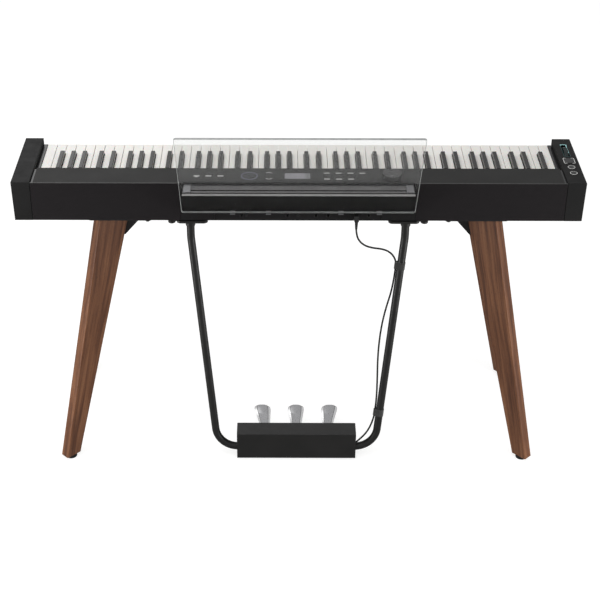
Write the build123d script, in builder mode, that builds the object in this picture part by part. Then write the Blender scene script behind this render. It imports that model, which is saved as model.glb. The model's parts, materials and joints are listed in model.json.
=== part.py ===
"""Slim 88-key digital piano on a four-legged stand, with a clear music rest and three pedals.

Frame: +X runs from the bass end to the treble end, the player sits on the -Y side, +Z is up.
The floor is z = 0 and the origin is under the middle of the whole object's box.
Depths inside the piano are given as insets: millimetres forward of the case's rear face,
so a negative inset lies behind the piano.
"""
from build123d import *
from math import cos, pi, radians, sin, tan
import os

os.makedirs("parts", exist_ok=True)

# ---------------------------------------------------------------- driving dimensions, mm
# Case
BODY_W = 1340.0        # width over both end blocks
BODY_D = 242.0         # depth of the case
BODY_TOP = 741.0       # floor to the top of the end blocks
BLOCK_H = 99.0         # height of an end block
FLOOR_DROP = 3.0       # how far the bottom plate hangs below the end blocks
END_W = 44.0           # width of one end block
END_DRAFT = 2.0        # how far an end block leans in at its foot
WALL = 4.0             # wall of the moulded end blocks
SEAM = 0.3             # seam between neighbouring fixed covers

# Keyboard
WHITE_COUNT = 52
WHITE_PITCH = 23.65    # one white key to the next
WHITE_GAP = 1.05       # gap between two white keys
WHITE_HEAD = 50.0      # length of the full-width front of a white key
KEY_FRONT = 235.0      # inset of the front of the white keys
KEY_TOP = 727.0        # top of the white keys
KEY_SKIRT = 20.0       # height of a white key's front
KEY_ARM = (703.0, 711.0)   # underside and top of the hidden arm of every key
KEY_TAIL = 24.0        # inset of the rear end of every key
KEY_PIVOT = 30.0       # inset of the pivot
KEY_WALL = 2.4         # wall of a moulded white key
BLACK_W = 11.5         # width of a black key at its foot
BLACK_TOP_W = 9.6      # width of a black key at its top
BLACK_TOP = 738.5      # top of the black keys
BLACK_FRONT = 184.0    # inset of the foot of a black key's front
NOTCH_HALF = 6.75      # half the slot that two white keys leave for a black one
BLACK_SHIFT = {1: -3.0, 3: 3.0, 6: -3.5, 8: 0.0, 10: 3.5}   # off the white-key joint, by semitone

# Control panel and music rest
PANEL_FRONT = 82.5     # inset of the panel's front edge
PANEL_LIP = 2.7        # thickness of the lip that hangs from that edge
PANEL_TOP = 738.5
PANEL_T = 2.7
LIP_FOOT = 729.5       # lower edge of the panel's front lip
PANEL_GROOVE = 6.5     # open groove between the panel and each end block
COVER_TOP = 730.7      # top of the thick part of the rear covers
REST_BAY_HALF = 270.0  # half width of the bay for the music rest
REST_BAY = 8.7         # inset of the panel's rear edge inside that bay
REST_HALF = 269.0      # half width of the music-rest holder
REST_W = 547.0         # width of the clear plate
REST_T = 5.0
REST_LEN = 309.0
REST_FOOT = 670.0      # height of the plate's lower edge
REST_LEAN = 31.1       # degrees back from upright
HOLDER_TOP = (43.0, 730.0)   # reach behind the case, and height, of the holder's lip
HOLDER_FOOT = 673.0    # height of the holder's lower edge
REST_GAP = 0.4         # clearance between the plate and the holder
HOOK_XS = (-190.0, -100.0, 70.0, 154.0)   # hooks under the plate's lower edge

# Sockets in the rear
JACK_HALF, JACK_TOP, JACK_Z = 197.0, 667.0, 655.0
PHONE_JACKS = (133.0, 25.0, -42.0, -71.0)
SMALL_JACKS = (121.0, 0.0)
PEDAL_JACK_X = -137.0
POWER_JACK_X = -166.0
PHONE_R, SMALL_R, PEDAL_JACK_R, POWER_R = 3.2, 1.8, 3.8, 3.0

# Stand
LEG_T = 26.0           # thickness of a leg
LEG_TOP_W = 92.0
LEG_FOOT_W = 42.5
LEG_TOP_Z = 634.5      # height of the leg's top face
FOOT_X = 579.0         # X of the foot's front or rear corner
FOOT_REACH = 96.0      # how far that corner stands beyond the case, front and rear
LEG_SPLAY = 111.0      # how far a leg leans outwards, and as far to the front or rear
GLIDE_R, GLIDE_H = 14.5, 8.2
GUSSET_L, GUSSET_H, GUSSET_T = 46.0, 75.0, 15.0
GUSSET_TIP = 16.0      # how far outboard of the leg's inner edge the gusset's tip lies
GUSSET_LIP = 3.0       # height of the gusset's blunt inboard end
GUSSET_ROOT = 40.0     # how far the gusset reaches towards the leg before the leg is cut away

# Pedal unit
TUBE_R = 9.5
TUBE_WALL = 1.6
TUBE_X = 255.0
BOX_HALF = 150.0
BOX_REAR = -86.0       # inset of the pedal box's rear face
BOX_TOP = 78.0
BOX_FLOOR = 4.0
PEDAL_PIVOT = (-66.0, 46.0)   # inset and height of the pedal shaft
PEDAL_PITCH = 75.0
SHAFT_R = 3.0
CABLE_R = 2.25

# Case position: the box of the whole object runs from the front feet to the rest's top edge
REST_REACH = (HOLDER_TOP[0] - (HOLDER_TOP[1] - REST_FOOT) * tan(radians(REST_LEAN))
              + REST_LEN * sin(radians(REST_LEAN)) + (REST_T + REST_GAP) * cos(radians(REST_LEAN)))
REAR = (BODY_D + FOOT_REACH - REST_REACH) / 2     # Y of the case's rear face
FRONT = REAR - BODY_D
BLOCK_FOOT = BODY_TOP - BLOCK_H
CASE_FLOOR = BLOCK_FOOT - FLOOR_DROP
INNER = BODY_W / 2 - END_W                        # X of the end blocks' inner faces
KEY_SPAN = WHITE_COUNT * WHITE_PITCH


# ---------------------------------------------------------------- helpers
def slab(x0, x1, inset0, inset1, z0, z1, mode=Mode.ADD):
    """A box between two X values, two insets and two heights."""
    with Locations(((x0 + x1) / 2, REAR - (inset0 + inset1) / 2, (z0 + z1) / 2)):
        Box(abs(x1 - x0), abs(inset1 - inset0), abs(z1 - z0), mode=mode)


def rail(points, x0, x1, mode=Mode.ADD):
    """A profile of (inset, height) points, carried straight from x0 to x1."""
    with BuildSketch(Plane.YZ.offset(x0)) as outline:
        with BuildLine():
            Polyline(*[(REAR - inset, z) for inset, z in points], close=True)
        make_face()
    extrude(outline.sketch, amount=x1 - x0, mode=mode)


def barrel(radius, x, inset, z0, z1, mode=Mode.ADD):
    """An upright cylinder."""
    with Locations((x, REAR - inset, (z0 + z1) / 2)):
        Cylinder(radius, z1 - z0, mode=mode)


def pin(radius, x0, x1, inset, z, mode=Mode.ADD):
    """A cylinder along X."""
    with Locations(Location(((x0 + x1) / 2, REAR - inset, z), (0, 90, 0))):
        Cylinder(radius, x1 - x0, mode=mode)


def plug_hole(radius, x, inset0, inset1, z, mode=Mode.ADD):
    """A cylinder along Y, between two insets."""
    with Locations(Location((x, REAR - (inset0 + inset1) / 2, z), (90, 0, 0))):
        Cylinder(radius, abs(inset1 - inset0), mode=mode)


def save(piece, name):
    """Label a finished piece and write its STEP file."""
    piece.label = name
    export_step(piece, f"parts/{name}.step")


def top_edges(part, z):
    """Edges that lie in the plane at height z."""
    return part.edges().filter_by_position(Axis.Z, z - 0.01, z + 0.01)


# ---------------------------------------------------------------- case
def bottom_case():
    """Bottom plate, front key slip and rear wall in one pressing."""
    half = BODY_W / 2 - END_DRAFT - 4
    with BuildPart() as case:
        slab(-half, half, 6, BODY_D - 4, CASE_FLOOR, BLOCK_FOOT)
        slab(-INNER + SEAM, INNER - SEAM, 236.5, BODY_D, BLOCK_FOOT, 708)
        fillet(top_edges(case.part, 708).filter_by(Axis.X), 1.5)
        for side in (-1, 1):
            slab(side * REST_BAY_HALF, side * (INNER - SEAM), 7, 10, BLOCK_FOOT, 728.5)
        slab(-REST_BAY_HALF, REST_BAY_HALF, 7, 10, BLOCK_FOOT, 723.5)
        slab(-JACK_HALF, JACK_HALF, 6, 11, BLOCK_FOOT, JACK_TOP, Mode.SUBTRACT)
    return case.part


WHEEL_X = -(BODY_W - END_W) / 2
WHEEL_INSET, WHEEL_R, WHEEL_W = 175.0, 34.0, 10.0
WHEEL_Z = BODY_TOP + 6 - WHEEL_R
WHEEL_PIN_R = 2.5
SQUARE_INSET, SQUARE_W, SQUARE_L = 120.0, 23.0, 25.0
ROUND_R = 7.5
ROUND_INSETS = (86.0, 55.0)
BUTTON_PROUD = 0.8
BUTTON_FLANGE = (732.5, 735.2)
BUTTON_GAP = 0.35


def end_block(side):
    """Hollow moulded end block; side is -1 for the bass end and 1 for the treble end."""
    inner, outer = side * INNER, side * BODY_W / 2
    with BuildPart() as block:
        with BuildSketch(Plane.XZ.offset(-REAR)):
            with BuildLine():
                Polyline((inner, BLOCK_FOOT), (outer - side * END_DRAFT, BLOCK_FOOT),
                         (outer, BODY_TOP), (inner, BODY_TOP), close=True)
            make_face()
        extrude(amount=BODY_D)
        fillet(block.edges().filter_by(Axis.Y).group_by(Axis.Z)[-1], 1.2)
        fillet(top_edges(block.part, BODY_TOP).filter_by(Axis.X), 1.2)
        slab(inner + side * WALL, outer - side * (WALL + END_DRAFT), WALL, BODY_D - WALL,
             BLOCK_FOOT, BODY_TOP - WALL, Mode.SUBTRACT)
        if side < 0:
            slab(WHEEL_X - 7, WHEEL_X + 7, WHEEL_INSET - 33, WHEEL_INSET + 33,
                 BODY_TOP - WALL - 1, BODY_TOP + 1, Mode.SUBTRACT)
            slab(WHEEL_X - SQUARE_W / 2 - BUTTON_GAP, WHEEL_X + SQUARE_W / 2 + BUTTON_GAP,
                 SQUARE_INSET - SQUARE_L / 2 - BUTTON_GAP, SQUARE_INSET + SQUARE_L / 2 + BUTTON_GAP,
                 BODY_TOP - WALL - 1, BODY_TOP + 1, Mode.SUBTRACT)
            for inset in ROUND_INSETS:
                barrel(ROUND_R + BUTTON_GAP, WHEEL_X, inset, BODY_TOP - WALL - 1, BODY_TOP + 1,
                       Mode.SUBTRACT)
    return block.part


def cheek_blocks():
    """The two fillers between the outer keys and the end blocks."""
    with BuildPart() as cheeks:
        for side in (-1, 1):
            slab(side * (KEY_SPAN / 2 + 0.6), side * (INNER - SEAM), PANEL_FRONT + 0.5, 236.2,
                 BLOCK_FOOT, KEY_TOP - 0.5)
        fillet(top_edges(cheeks.part, KEY_TOP - 0.5).filter_by(Axis.Y), 1.0)
    return cheeks.part


KNOB_X, KNOB_INSET, KNOB_R, KNOB_H = -219.0, 33.0, 22.5, 13.0
DISPLAY_X, DISPLAY_INSET, DISPLAY_W, DISPLAY_L = 2.0, 42.0, 60.0, 30.0


def top_frame():
    """Moulded frame under the control panel, with the bay for the music rest at the rear."""
    foot, top = 731.0, PANEL_TOP - PANEL_T
    with BuildPart() as frame:
        slab(-INNER + SEAM, INNER - SEAM, 1.5, PANEL_FRONT - PANEL_LIP - SEAM, foot, top)
        slab(-REST_BAY_HALF, REST_BAY_HALF, 0, REST_BAY + 0.8, foot - 1, top + 1, Mode.SUBTRACT)
        slab(-REST_BAY_HALF, REST_BAY_HALF, 29.5, 31.5, 725, foot)
        for side in (-1, 1):
            slab(side * (REST_BAY_HALF - 0.7), side * (REST_BAY_HALF + 6), 10.3, 31.5, 714, foot)
        barrel(SHAFT_R + 0.05, KNOB_X, KNOB_INSET, foot - 1, top + 1, Mode.SUBTRACT)
    return frame.part


def control_panel():
    """Gloss touch panel over the rear of the keys, with a lip down to the keys."""
    half = INNER - PANEL_GROOVE
    under = PANEL_TOP - PANEL_T
    with BuildPart() as panel:
        slab(-half, half, 1.2, PANEL_FRONT, under, PANEL_TOP)
        slab(-half, half, PANEL_FRONT - PANEL_LIP, PANEL_FRONT, LIP_FOOT, under)
        slab(-REST_BAY_HALF, REST_BAY_HALF, 0, REST_BAY, under - 1, PANEL_TOP + 1, Mode.SUBTRACT)
        fillet(top_edges(panel.part, PANEL_TOP).filter_by(Axis.X), 0.6)
        barrel(SHAFT_R + 1, KNOB_X, KNOB_INSET, under - 1, PANEL_TOP + 1, Mode.SUBTRACT)
        slab(DISPLAY_X - DISPLAY_W / 2, DISPLAY_X + DISPLAY_W / 2,
             DISPLAY_INSET - DISPLAY_L / 2, DISPLAY_INSET + DISPLAY_L / 2,
             under - 1, PANEL_TOP + 1, Mode.SUBTRACT)
    return panel.part


def display_window():
    """Clear window let into the panel."""
    with BuildPart() as window:
        slab(DISPLAY_X - DISPLAY_W / 2 + 0.1, DISPLAY_X + DISPLAY_W / 2 - 0.1,
             DISPLAY_INSET - DISPLAY_L / 2 + 0.1, DISPLAY_INSET + DISPLAY_L / 2 - 0.1,
             PANEL_TOP - PANEL_T, PANEL_TOP - 0.2)
    return window.part


def speaker_fabric(side):
    """Fabric-covered grille on one side of the rear."""
    with BuildPart() as cover:
        slab(side * (REST_BAY_HALF + 6.5), side * (INNER - 0.9), 0, 6.7, BLOCK_FOOT + 0.5, COVER_TOP)
        slab(side * (REST_BAY_HALF + 6.5), side * (INNER - 0.9), 0, 1.1, COVER_TOP, PANEL_TOP + 1)
        rear = cover.faces().sort_by(Axis.Y)[-1]
        fillet(rear.edges(), 1.0)
    return cover.part


def rear_panel():
    """Plain centre panel of the rear, cut out for the jack strip."""
    with BuildPart() as panel:
        slab(-REST_BAY_HALF - 6, REST_BAY_HALF + 6, 0, 6.7, BLOCK_FOOT + 0.5, 723.5)
        for side in (-1, 1):
            slab(side * (REST_BAY_HALF + 0.2), side * (REST_BAY_HALF + 6), 0, 6.7, 723.5, COVER_TOP)
            slab(side * (REST_BAY_HALF + 0.2), side * (REST_BAY_HALF + 6), 0, 1.1, COVER_TOP, PANEL_TOP + 1)
        slab(-JACK_HALF, JACK_HALF, -1, 8, BLOCK_FOOT, JACK_TOP, Mode.SUBTRACT)
    return panel.part


def jack_list():
    """Every socket as (x, bore radius)."""
    jacks = [(x, PHONE_R) for x in PHONE_JACKS] + [(x, SMALL_R) for x in SMALL_JACKS]
    return jacks + [(PEDAL_JACK_X, PEDAL_JACK_R), (POWER_JACK_X, POWER_R)]


def jack_panel():
    """Recessed strip that carries the sockets."""
    with BuildPart() as strip:
        slab(-JACK_HALF + SEAM, JACK_HALF - SEAM, 2, 4.5, BLOCK_FOOT + 0.5, JACK_TOP - SEAM)
        for x, radius in jack_list():
            plug_hole(radius + 2, x, 1, 6, JACK_Z, Mode.SUBTRACT)
    return strip.part


def jack_sockets():
    """Blind socket barrels, one in each hole of the strip."""
    with BuildPart() as sockets:
        for x, radius in jack_list():
            plug_hole(radius + 2, x, 1.2, 20, JACK_Z)
            plug_hole(radius, x, 1, 17, JACK_Z, Mode.SUBTRACT)
    return sockets.part


def speaker_drivers():
    """Two flat oval drivers behind the fabric on each side."""
    with BuildPart() as drivers:
        for x in (-500, -380, 380, 500):
            with BuildSketch(Plane.XZ.offset(-(REAR - 10.2))):
                with Locations((x, 684)):
                    Ellipse(46, 24)
            extrude(amount=5)
            with BuildSketch(Plane.XZ.offset(-(REAR - 15.2))):
                with Locations((x, 684)):
                    Ellipse(24, 14)
            extrude(amount=5)
    return drivers.part


def main_board():
    """Circuit board on stand-offs, with its larger components."""
    foot = BLOCK_FOOT
    with BuildPart() as board:
        slab(-170, 170, 50, 175, foot + 5, foot + 6.6)
        for x in (-160, 160):
            for inset in (60, 165):
                barrel(3.5, x, inset, foot, foot + 5)
        for x, inset, width, depth in ((-60, 110, 22, 22), (20, 90, 28, 18), (90, 130, 16, 16)):
            slab(x, x + width, inset, inset + depth, foot + 6.6, foot + 9)
    return board.part


def key_chassis():
    """Steel key bed: base, pivot rail at the rear and stop rail under the key fronts."""
    half = KEY_SPAN / 2
    bed = BLOCK_FOOT + 12
    pivot_top = KEY_ARM[0] - 0.4
    with BuildPart() as chassis:
        slab(-half, half, 22, 226, bed, bed + 2)
        rail([(KEY_PIVOT - 4, bed + 2), (KEY_PIVOT + 4, bed + 2), (KEY_PIVOT + 1.5, pivot_top),
              (KEY_PIVOT - 1.5, pivot_top)], -half, half)
        slab(-half, half, 204, 218, bed + 2, 692)
        slab(-half, half, 205, 217, 692, 696.5)
        for x in (-560, -200, 200, 560):
            for inset in (40, 190):
                barrel(6, x, inset, BLOCK_FOOT, bed)
    return chassis.part


def volume_knob():
    """Plain round volume knob with its shaft."""
    base = PANEL_TOP + 0.5
    with BuildPart() as knob:
        barrel(KNOB_R, KNOB_X, KNOB_INSET, base, base + KNOB_H)
        fillet(top_edges(knob.part, base + KNOB_H), 1.2)
        barrel(SHAFT_R, KNOB_X, KNOB_INSET, 731.5, base)
    return knob.part


def pitch_wheel():
    """Pitch-bend wheel with a finger notch in its rim."""
    with BuildPart() as wheel:
        pin(WHEEL_R, WHEEL_X - WHEEL_W / 2, WHEEL_X + WHEEL_W / 2, WHEEL_INSET, WHEEL_Z)
        fillet(wheel.edges().filter_by(GeomType.CIRCLE), 1.0)
        pin(7, WHEEL_X - WHEEL_W, WHEEL_X + WHEEL_W, WHEEL_INSET, WHEEL_Z + WHEEL_R + 4, Mode.SUBTRACT)
        pin(WHEEL_PIN_R + 0.05, WHEEL_X - WHEEL_W, WHEEL_X + WHEEL_W, WHEEL_INSET, WHEEL_Z, Mode.SUBTRACT)
    return wheel.part


def wheel_axle():
    """Fixed pin that the pitch-bend wheel turns on, with a collar each side of the wheel."""
    outer = BODY_W / 2 - WALL - END_DRAFT
    with BuildPart() as axle:
        pin(WHEEL_PIN_R, -outer, -INNER - WALL, WHEEL_INSET, WHEEL_Z)
        pin(5, -outer, WHEEL_X - WHEEL_W / 2 - 0.4, WHEEL_INSET, WHEEL_Z)
        pin(5, WHEEL_X + WHEEL_W / 2 + 0.4, -INNER - WALL, WHEEL_INSET, WHEEL_Z)
    return axle.part


def square_button():
    """Square push button, held by a flange under the end block's top."""
    with BuildPart() as button:
        slab(WHEEL_X - SQUARE_W / 2, WHEEL_X + SQUARE_W / 2, SQUARE_INSET - SQUARE_L / 2,
             SQUARE_INSET + SQUARE_L / 2, BUTTON_FLANGE[0], BODY_TOP + BUTTON_PROUD)
        fillet(top_edges(button.part, BODY_TOP + BUTTON_PROUD), 0.6)
        slab(WHEEL_X - SQUARE_W / 2 - 2, WHEEL_X + SQUARE_W / 2 + 2, SQUARE_INSET - SQUARE_L / 2 - 1.5,
             SQUARE_INSET + SQUARE_L / 2 + 1.5, *BUTTON_FLANGE)
    return button.part


def round_button(inset):
    """Round push button, held by a flange under the end block's top."""
    with BuildPart() as button:
        barrel(ROUND_R, WHEEL_X, inset, BUTTON_FLANGE[0], BODY_TOP + BUTTON_PROUD)
        fillet(top_edges(button.part, BODY_TOP + BUTTON_PROUD), 0.6)
        barrel(ROUND_R + 2, WHEEL_X, inset, *BUTTON_FLANGE)
    return button.part


# ---------------------------------------------------------------- music rest
SLOPE = tan(radians(REST_LEAN))


def face_inset(z):
    """Inset of the holder's sloping rear face at height z."""
    return -HOLDER_TOP[0] + (HOLDER_TOP[1] - z) * SLOPE


def rest_holder():
    """Hollow wedge hooked over the case's rear edge, which the clear plate leans against."""
    lip, top = HOLDER_TOP
    foot = HOLDER_FOOT
    tray = top - 1
    outline = [(28, tray), (-12, tray), (-12, tray - 3), (-17.5, tray - 3), (-17.5, tray),
               (-27, tray), (-27, tray - 2.6), (-33.4, tray - 2.6), (-33.4, top), (-lip, top),
               (face_inset(foot), foot), (-0.4, foot), (-0.4, 724.2), (28, 724.2)]
    low, high = foot + 4.5, tray - 5.5
    hollow = [(-3.4, low), (-3.4, high), (face_inset(high) + 3.2, high), (face_inset(low) + 3.2, low)]
    with BuildPart() as holder:
        rail(outline, -REST_HALF, REST_HALF)
        rail(hollow, -REST_HALF + 3, REST_HALF - 3, Mode.SUBTRACT)
    return holder.part


def rest_brackets():
    """End caps on the holder's tray, and the four hooks that carry the plate's lower edge."""
    tray = HOLDER_TOP[1] - 1
    foot = REST_FOOT - 1
    with BuildPart() as brackets:
        for side in (-1, 1):
            slab(side * 250, side * 267, -31, 6.5, tray, tray + 5)
        fillet(top_edges(brackets.part, tray + 5), 0.8)
        for x in HOOK_XS:
            rail([(-0.4, foot - 3.4), (-0.4, HOLDER_FOOT), (face_inset(HOLDER_FOOT), HOLDER_FOOT),
                  (face_inset(foot) + 0.3, foot), (face_inset(foot) - 5.9, foot - 3),
                  (face_inset(foot) - 5.9, foot - 5)], x - 6, x + 6)
    return brackets.part


def music_rest():
    """Clear plate leaning back against the holder."""
    lean = radians(REST_LEAN)
    origin = (0, REAR - face_inset(REST_FOOT) + REST_GAP / cos(lean), REST_FOOT)
    lying = Plane(origin=origin, x_dir=(1, 0, 0), z_dir=(0, cos(lean), -sin(lean)))
    with BuildPart() as plate:
        with BuildSketch(lying):
            with Locations((0, -REST_LEN / 2)):
                RectangleRounded(REST_W, REST_LEN, 6)
        extrude(amount=REST_T)
        long_edges = plate.edges().filter_by(Axis.X)
        chamfer(long_edges, 0.5)
    return plate.part


# ---------------------------------------------------------------- keys
LOWEST_NOTE, HIGHEST_NOTE = 21, 108
BLACK_SEMITONES = (1, 3, 6, 8, 10)
NOTE_NAMES = ("c", "cs", "d", "ds", "e", "f", "fs", "g", "gs", "a", "as", "b")


def is_black(note):
    return note % 12 in BLACK_SEMITONES


def whites_below(note):
    """How many white keys lie to the left of a note."""
    return sum(not is_black(lower) for lower in range(LOWEST_NOTE, note))


def black_centre(note):
    return -KEY_SPAN / 2 + whites_below(note) * WHITE_PITCH + BLACK_SHIFT[note % 12]


def black_near(note):
    """True where a black key of this keyboard stands at the given note."""
    return LOWEST_NOTE <= note <= HIGHEST_NOTE and is_black(note)


def white_plan(note):
    """Outline of a white key as (x, inset) points, notched beside its black neighbours."""
    left = -KEY_SPAN / 2 + whites_below(note) * WHITE_PITCH + WHITE_GAP / 2
    right = left + WHITE_PITCH - WHITE_GAP
    tail_left = black_centre(note - 1) + NOTCH_HALF if black_near(note - 1) else left
    tail_right = black_centre(note + 1) - NOTCH_HALF if black_near(note + 1) else right
    notch = KEY_FRONT - WHITE_HEAD
    points = [(left, KEY_FRONT), (right, KEY_FRONT)]
    if tail_right < right:
        points += [(right, notch), (tail_right, notch)]
    points += [(tail_right, KEY_TAIL), (tail_left, KEY_TAIL)]
    if tail_left > left:
        points += [(tail_left, notch), (left, notch)]
    return points, (tail_left, tail_right)


def white_key(note):
    """Moulded white key: hollow under the part that is played, solid in its hidden arm."""
    plan, (tail_left, tail_right) = white_plan(note)
    arm_foot, arm_top = KEY_ARM
    skirt = KEY_TOP - KEY_SKIRT
    step = PANEL_FRONT - 1
    with BuildPart() as key:
        with BuildSketch(Plane.XY.offset(arm_foot)):
            with BuildLine():
                Polyline(*[(x, REAR - inset) for x, inset in plan], close=True)
            make_face()
        extrude(amount=KEY_TOP - arm_foot)
        rail([(KEY_TAIL - 1, arm_top), (step, arm_top), (step, KEY_TOP + 1), (KEY_TAIL - 1, KEY_TOP + 1)],
             tail_left - 5, tail_right + 5, Mode.SUBTRACT)
        rail([(104, arm_foot - 1), (112, skirt), (KEY_FRONT + 1, skirt), (KEY_FRONT + 1, arm_foot - 1)],
             tail_left - 25, tail_right + 25, Mode.SUBTRACT)
        fillet(top_edges(key.part, KEY_TOP), 0.7)
        slab(tail_left + KEY_WALL, tail_right - KEY_WALL, 116, KEY_FRONT - KEY_WALL,
             skirt - 1, KEY_TOP - KEY_WALL, Mode.SUBTRACT)
    return key.part


def black_key(note):
    """Black key: tapered, sloped at the front, on the same kind of hidden arm."""
    centre = black_centre(note)
    arm_foot, arm_top = KEY_ARM
    side = [(KEY_TAIL, arm_foot), (KEY_TAIL, arm_top), (PANEL_FRONT + 1.5, arm_top),
            (PANEL_FRONT + 1.5, BLACK_TOP), (BLACK_FRONT - 8, BLACK_TOP), (BLACK_FRONT, KEY_TOP),
            (BLACK_FRONT, 711), (112, 709), (104, arm_foot)]
    with BuildPart() as key:
        with BuildSketch(Plane.XZ.offset(-(REAR - KEY_TAIL))):
            with BuildLine():
                Polyline((centre - BLACK_W / 2, arm_foot), (centre + BLACK_W / 2, arm_foot),
                         (centre + BLACK_W / 2, KEY_TOP - 2), (centre + BLACK_TOP_W / 2, BLACK_TOP),
                         (centre - BLACK_TOP_W / 2, BLACK_TOP), (centre - BLACK_W / 2, KEY_TOP - 2),
                         close=True)
            make_face()
        extrude(amount=BLACK_FRONT - KEY_TAIL)
        rail(side, centre - BLACK_W, centre + BLACK_W, Mode.INTERSECT)
        fillet(top_edges(key.part, BLACK_TOP), 1.3)
    return key.part


def key_group(notes):
    """Several separate keys kept together as one group."""
    return Compound(children=[black_key(note) if is_black(note) else white_key(note) for note in notes])


# ---------------------------------------------------------------- stand
def leg_section(side, end, z, splay, width):
    """Corner points of a leg's level section; the plank stands on the diagonal of the case."""
    diagonal = Vector(side, end) / 2 ** 0.5
    across = Vector(side, -end) / 2 ** 0.5
    middle = (REAR + FRONT) / 2
    corner = Vector(side * (FOOT_X - splay), middle + end * (BODY_D / 2 + FOOT_REACH - splay), z)
    return [corner, corner - diagonal * width, corner - diagonal * width + across * LEG_T,
            corner + across * LEG_T]


def leg_blank(side, end):
    """Tapered plank with sharp edges, splayed outwards and to the front or rear."""
    with BuildPart() as plank:
        for z, splay, width in ((GLIDE_H, 0, LEG_FOOT_W), (LEG_TOP_Z, LEG_SPLAY, LEG_TOP_W)):
            with BuildSketch(Plane.XY.offset(z)):
                with BuildLine():
                    Polyline(*[(p.X, p.Y) for p in leg_section(side, end, z, splay, width)], close=True)
                make_face()
        loft()
    return plank.part


def leg(side, end):
    """Plank leg with eased long edges."""
    with BuildPart() as plank:
        add(leg_blank(side, end))
        long_edges = plank.edges().filter_by(lambda edge: edge.length > LEG_TOP_Z - GLIDE_H)
        fillet(long_edges, 3.0)
    return plank.part


def centre_of(points):
    return sum(points[1:], points[0]) / len(points)


def leg_glides():
    """Round glide under each foot, slightly rounded where it meets the floor."""
    with BuildPart() as glides:
        for side in (-1, 1):
            for end in (-1, 1):
                middle = centre_of(leg_section(side, end, GLIDE_H / 2, 0, LEG_FOOT_W))
                with Locations((middle.X, middle.Y, middle.Z)):
                    Cylinder(GLIDE_R, GLIDE_H)
        fillet(top_edges(glides.part, 0), 1.0)
    return glides.part


BRACKET_T = CASE_FLOOR - LEG_TOP_Z
PLATE_INSETS = (12.0, 112.0)    # a rear leg's top plate, counted from the rear face
PLATE_PAST_GUSSET = 12.0        # how far the plate runs past the gusset and past the leg
BOLT_EDGE = 8.0                 # from a plate's edge to its screws


def from_end(end, inset):
    """Y of a point that lies inset from the front face (end -1) or the rear face (end 1)."""
    return (REAR + FRONT) / 2 + end * (BODY_D / 2 - inset)


def leg_top(side, end):
    """X of the leg's inner and outer corner at its top, and the inset of its inner edge."""
    corners = leg_section(side, end, LEG_TOP_Z, LEG_SPLAY, LEG_TOP_W)
    edge_inset = BODY_D / 2 - end * (corners[1].Y - (REAR + FRONT) / 2)
    return corners[1].X, corners[3].X, edge_inset


def leg_brackets():
    """Top plate of each leg with a triangular gusset that runs inwards from the leg's inner edge."""
    with BuildPart() as brackets:
        for side in (-1, 1):
            for end in (-1, 1):
                inner, outer, edge_inset = leg_top(side, end)
                plate_inner = inner - side * (GUSSET_L + PLATE_PAST_GUSSET)
                plate_outer = outer + side * PLATE_PAST_GUSSET
                middle = ((plate_inner + plate_outer) / 2, from_end(end, sum(PLATE_INSETS) / 2))
                with BuildSketch(Plane.XY.offset(LEG_TOP_Z)):
                    with Locations(middle):
                        RectangleRounded(abs(plate_outer - plate_inner), PLATE_INSETS[1] - PLATE_INSETS[0], 8)
                extrude(amount=BRACKET_T)
                rib_y = from_end(end, edge_inset + 1.5 + GUSSET_T / 2)
                inboard, tip, root = (inner + side * run for run in (-GUSSET_L, GUSSET_TIP, GUSSET_ROOT))
                foot = LEG_TOP_Z - GUSSET_H
                with BuildSketch(Plane.XZ.offset(-rib_y)):
                    with BuildLine():
                        Polyline((tip, foot), (root, foot), (root, LEG_TOP_Z), (inboard, LEG_TOP_Z),
                                 (inboard, LEG_TOP_Z - GUSSET_LIP), close=True)
                    make_face()
                extrude(amount=GUSSET_T / 2, both=True)
                add(leg_blank(side, end), mode=Mode.SUBTRACT)
    return brackets.part


def leg_bolts():
    """Cap screws that hold the leg plates to the case."""
    with BuildPart() as bolts:
        for side in (-1, 1):
            for end in (-1, 1):
                inner, outer, _ = leg_top(side, end)
                near, far = PLATE_INSETS[0] + BOLT_EDGE, PLATE_INSETS[1] - BOLT_EDGE
                inboard = inner - side * GUSSET_L
                for x, inset in ((inboard, near), (inboard, far), (outer, far)):
                    with Locations((x, from_end(end, inset), LEG_TOP_Z - 2.2)):
                        Cylinder(5, 4.4)
    return bolts.part


# ---------------------------------------------------------------- pedal unit
TUBE_ROUTE = ((TUBE_X, 14.0, CASE_FLOOR - 8), (TUBE_X, 14.0, 590.0), (199.0, -66.0, 27.0),
              (BOX_HALF - 3, -66.0, 27.0))
TUBE_BENDS = (70.0, 56.0)


def pedal_tube(side):
    """Bent steel tube from the case down to one end of the pedal box."""
    points = [(side * x, REAR - inset, z) for x, inset, z in TUBE_ROUTE]
    with BuildPart() as tube:
        with BuildLine() as route:
            FilletPolyline(*points, radius=list(TUBE_BENDS))
        with BuildSketch(Plane(origin=points[0], z_dir=(0, 0, -1))):
            Circle(TUBE_R)
            Circle(TUBE_R - TUBE_WALL, mode=Mode.SUBTRACT)
        sweep(path=route.wire())
    return tube.part


TUBE_PLATE_T = 6.0
BOLT_TAB_T = 3.0
BOLT_X = TUBE_X + 44
BOLT_HEAD_R, BOLT_HEAD_H = 8.8, 6.0


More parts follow.
